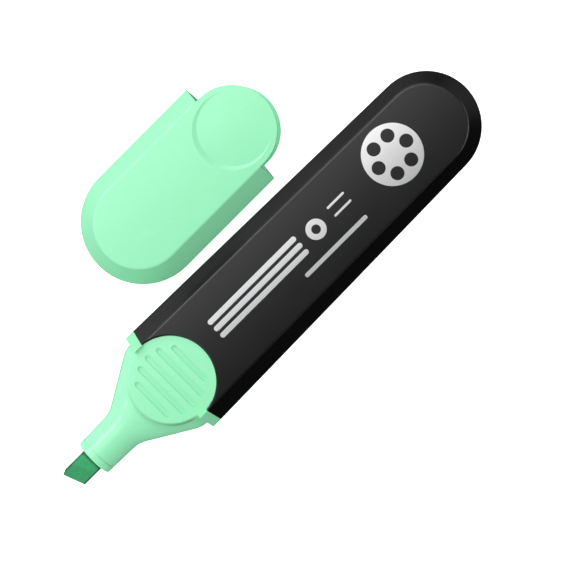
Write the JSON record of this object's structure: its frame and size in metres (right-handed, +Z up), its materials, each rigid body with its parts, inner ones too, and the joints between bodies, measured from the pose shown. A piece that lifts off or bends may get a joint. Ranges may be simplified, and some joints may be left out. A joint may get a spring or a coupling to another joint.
{
  "type": "highlighter",
  "caption": "Flat-bodied highlighter pen with a chisel felt nib, a round-ended tapered barrel with finger discs, and a pull-off cap lying beside it.",
  "frame": {"origin": "middle of the barrel's lower flat panel, on which the pen rests", "axes": "+X along the pen towards its rounded rear end, so the nib points to -X; +Z up, out of the upper wide face; +Y towards the side where the cap lies"},
  "size_m": [0.1169, 0.0537, 0.016],
  "materials": {
    "barrel": "satin black moulded plastic",
    "grip_section": "satin mint moulded plastic",
    "nib": "ink-soaked pressed felt",
    "ink_reservoir": "ink-soaked fibre",
    "reservoir_film": "thin plastic wrap",
    "cap": "satin mint moulded plastic",
    "inner_cap": "plain moulded plastic"
  },
  "bodies": {
    "pen": {"barrel": "barrel", "grip_section": "grip_section", "nib": "nib", "ink_reservoir": "ink_reservoir", "reservoir_film": "reservoir_film"},
    "cap_assembly": {"cap": "cap", "inner_cap": "inner_cap"}
  },
  "joints": [
    {"name": "cap_slide", "type": "slide", "parent": "pen", "child": "cap_assembly", "axis": [-1, 0, 0], "range_m": [0, 0.0457]}
  ]
}
